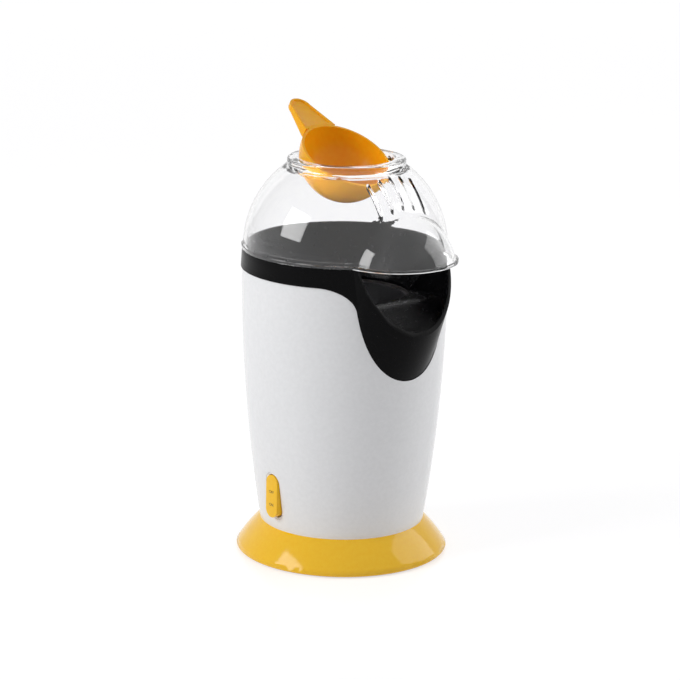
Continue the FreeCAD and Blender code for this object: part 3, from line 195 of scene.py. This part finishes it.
rubber = finish("black_nitrile_rubber", "#121212", "#1D1D1D", (0.6, 0.75), 0.6, 0.02, **MATT)
silicone = finish("dark_silicone_rubber", "#1C1A1A", "#262323", (0.5, 0.6), 1.0, 0.01, **MATT)
epoxy_board = finish("green_epoxy_board", "#1E4A2C", "#2B5E3A", (0.35, 0.45), 0.6, 0.01, **MATT)
nylon = finish("ivory_nylon", "#D6D2C4", "#E6E2D6", (0.4, 0.5), 1.0, 0.01, **MATT)
print("inner materials made")

# %% [markdown]
# Each CAD solid takes the finish that its real piece has. The solids that carry the look get a skin of their
# own in the next step; the rest keep the CAD mesh and only change material.

# %% Finishes for the CAD nodes
FINISHES = {
    white_abs: ["body_shell", "switch_housing"],
    black_abs: ["chute_collar"],
    yellow_abs: ["base_skirt", "switch_rocker"],
    amber_polystyrene: ["measuring_scoop"],
    clear_polystyrene: ["dome_lid"],
    matt_abs: ["base_plate", "motor_end_cap", "rectifier_diodes"],
    rubber: ["rubber_feet", "cord_bush"],
    silicone: ["chamber_gasket"],
    zinc_steel: ["base_screws", "collar_screws", "duct_screws", "motor_mount_screws", "motor_screws",
                 "rocker_pin", "motor_can", "motor_shaft", "thermostat"],
    galvanised: ["duct_housing", "motor_mount"],
    coated_aluminium: ["popping_chamber"],
    rolled_aluminium: ["fan_impeller"],
    mica: ["mica_boards"],
    nichrome: ["heating_coil"],
    bronze: ["motor_bushes"],
    brass: ["switch_tabs"],
    ferrite: ["motor_magnets"],
    laminated_steel: ["motor_armature"],
    epoxy_board: ["rectifier_board"],
    nylon: ["terminal_block", "thermal_fuse"],
}


def coat(piece, material):
    """Gives a piece one material all over."""
    piece.data.materials.clear()
    piece.data.materials.append(material)


for material, names in FINISHES.items():
    for name in names:
        coat(frame["nodes"][name], material)
print("finished nodes:", sum(len(names) for names in FINISHES.values()))

# %% [markdown]
# A CAD mesh is loose triangles, so its gloss shows every facet. The outer pieces therefore get a skin:
# a copy of the solid is merged, flat areas are dissolved into whole faces, and a small bevel rounds the
# edges as a mould does. Light then runs along each edge in a thin line. The skin stands for the solid.

# %% Skins for the outer pieces
MERGE_MM = 0.002
FLAT_WITHIN = math.radians(0.3)
SHARP_FROM = math.radians(40)
SMOOTH_UP_TO = math.radians(32)
BODY_OF = {node: body for body, nodes in frame["record"]["behaviour"]["bodies"].items() for node in nodes}


def skin(node, material, edge_mm, segments=3):
    """A smooth, bevelled copy of a CAD node that moves with the node's body."""
    bpy.ops.object.select_all(action="DESELECT")
    source = frame["nodes"][node]
    copy = bpy.data.objects.new(f"{node}_skin", source.data.copy())
    bpy.context.collection.objects.link(copy)
    bpy.context.view_layer.objects.active = copy
    copy.select_set(True)
    bpy.ops.object.mode_set(mode="EDIT")
    bpy.ops.mesh.select_all(action="SELECT")
    bpy.ops.mesh.remove_doubles(threshold=MERGE_MM * MM)
    bpy.ops.mesh.dissolve_limited(angle_limit=FLAT_WITHIN)
    bpy.ops.object.mode_set(mode="OBJECT")
    if edge_mm:
        bevel = copy.modifiers.new("moulded_edges", "BEVEL")
        bevel.width = edge_mm * MM
        bevel.segments = segments
        bevel.limit_method = "ANGLE"
        bevel.angle_limit = SHARP_FROM
        bpy.ops.object.modifier_apply(modifier=bevel.name)
    bpy.ops.object.shade_smooth_by_angle(angle=SMOOTH_UP_TO)
    coat(copy, material)
    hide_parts(node)
    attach(copy, BODY_OF[node])
    print(copy.name, len(copy.data.polygons), "faces")
    return copy


skin("body_shell", white_abs, 0.4)
skin("chute_collar", black_abs, 0.4)
skin("base_skirt", yellow_abs, 0.3)
skin("dome_lid", clear_polystyrene, 0.3)
skin("measuring_scoop", amber_polystyrene, 0.5)
rocker_skin = skin("switch_rocker", yellow_abs, 1.0, 4)
skin("switch_housing", white_abs, 0.2)
skin("popping_chamber", coated_aluminium, 0)

# %% [markdown]
# Two short words are printed on the rocker, one for each end. They are text turned into a mesh, laid on the
# rocker's face and given the thickness of a layer of ink. They ride on the rocker so that they tip with it.

# %% Words on the rocker
ink = finish("black_pad_print_ink", "#1A1712", "#26221B", (0.45, 0.55), 0.5, 0.0, **MATT)
rocker_low, rocker_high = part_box("switch_rocker")
STAND_OFF_MM = 3
CLEAR_X = rocker_low[0] - STAND_OFF_MM * MM
INK_MM = 0.05
LETTER_MM = 3.2
MIDDLE_Z = (rocker_low[2] + rocker_high[2]) / 2


def word(name, letters, height_mm):
    """Letters on the rocker's outer face, that many millimetres above its middle."""
    bpy.ops.object.select_all(action="DESELECT")
    bpy.ops.object.text_add(location=(CLEAR_X, 0, MIDDLE_Z + height_mm * MM),
                            rotation=(math.pi / 2, 0, -math.pi / 2))
    text = bpy.context.object
    text.name = name
    text.data.body = letters
    text.data.size = LETTER_MM * MM
    text.data.align_x = "CENTER"
    text.data.align_y = "CENTER"
    bpy.ops.object.convert(target="MESH")
    text = bpy.context.object
    laid = text.modifiers.new("laid_on_the_face", "SHRINKWRAP")
    laid.target = rocker_skin
    laid.wrap_method = "PROJECT"
    laid.use_project_z = True
    laid.use_positive_direction = False
    laid.use_negative_direction = True
    laid.offset = INK_MM * MM
    bpy.ops.object.modifier_apply(modifier=laid.name)
    layer = text.modifiers.new("layer_of_ink", "SOLIDIFY")
    layer.thickness = INK_MM * MM
    bpy.ops.object.modifier_apply(modifier=layer.name)
    bpy.ops.object.transform_apply(location=True, rotation=True, scale=True)
    coat(text, ink)
    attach(text, "rocker")
    print(text.name, [round(v, 4) for v in text.dimensions])


word("word_off", "OFF", 3.2)
word("word_on", "ON", -6.7)

# %% [markdown]
# The set is a pale floor that runs out of the picture, and a white room. The room is seen by the camera, by
# gloss and by clear plastic at full white, and lights the scene at a lower level, so that pale surfaces keep
# their tone.

# %% Floor and room
FLOOR_SIZE = 60
FLOOR_LIFT = 0.4
FLOOR_GLOW = 1.55
ROOM_LIGHT = 0.37
ROOM_SEEN = 1.0
FLOOR_PATTERN_MM = 900.0


def seen_rays(tree):
    """One for rays that the camera, gloss or clear plastic sends out, and nothing for the rest."""
    ray = add(tree, "ShaderNodeLightPath")
    mirrored = add(tree, "ShaderNodeMath", {"operation": "MAXIMUM"},
                   links={0: (ray, "Is Camera Ray"), 1: (ray, "Is Glossy Ray")})
    return add(tree, "ShaderNodeMath", {"operation": "MAXIMUM"},
               links={0: (mirrored, 0), 1: (ray, "Is Transmission Ray")})


floor_paper = finish("white_gloss_paper", "#F4F3F6", "#F6F5F8", (0.16, 0.2), FLOOR_PATTERN_MM, 0.0,
                     **{"IOR": 1.45})
paper = floor_paper.node_tree
lift = add(paper, "ShaderNodeMath", {"operation": "MULTIPLY"}, {1: FLOOR_LIFT},
           {0: (seen_rays(paper), 0)})
white = add(paper, "ShaderNodeEmission", inputs={"Color": paint("#FFFFFF"), "Strength": FLOOR_GLOW})
lit = paper.nodes["Principled BSDF"]
blend = add(paper, "ShaderNodeMixShader", links={0: (lift, 0), 1: (lit, "BSDF"), 2: (white, "Emission")})
paper.links.new(blend.outputs[0], paper.nodes["Material Output"].inputs["Surface"])
bpy.ops.object.select_all(action="DESELECT")
bpy.ops.mesh.primitive_plane_add(size=FLOOR_SIZE, location=(0, 0, 0))
floor = bpy.context.object
floor.name = "studio_floor"
coat(floor, floor_paper)

world = bpy.data.worlds.new("white_room")
bpy.context.scene.world = world
world.use_nodes = True
room = world.node_tree
room.nodes.clear()
level = add(room, "ShaderNodeMapRange", inputs={"To Min": ROOM_LIGHT, "To Max": ROOM_SEEN},
            links={"Value": (seen_rays(room), 0)})
glow = add(room, "ShaderNodeBackground", inputs={"Color": paint("#FFFFFF")},
           links={"Strength": (level, "Result")})
add(room, "ShaderNodeOutputWorld", links={"Surface": (glow, "Background")})
print("room set")

# %% [markdown]
# Two soft boxes shape the round body: a key high on the left, and a larger, weaker one on the right that
# lights the far edge. Large lamps near the object give the broad soft highlights of a product picture.

# %% Lamps
def softbox(name, place, size, watts):
    """A square lamp that faces the middle of the object."""
    bpy.ops.object.select_all(action="DESELECT")
    bpy.ops.object.light_add(type="AREA", location=place)
    lamp = bpy.context.object
    lamp.name = name
    lamp.data.size = size
    lamp.data.energy = watts
    lamp.rotation_euler = (AIM - Vector(place)).to_track_quat("-Z", "Y").to_euler()


softbox("key_softbox", (-1.6, 0.45, 1.0), size=0.9, watts=16)
softbox("rim_softbox", (1.5, -0.75, 0.9), size=1.4, watts=12)
bpy.context.scene.view_settings.view_transform = "Standard"
print("lamps set")
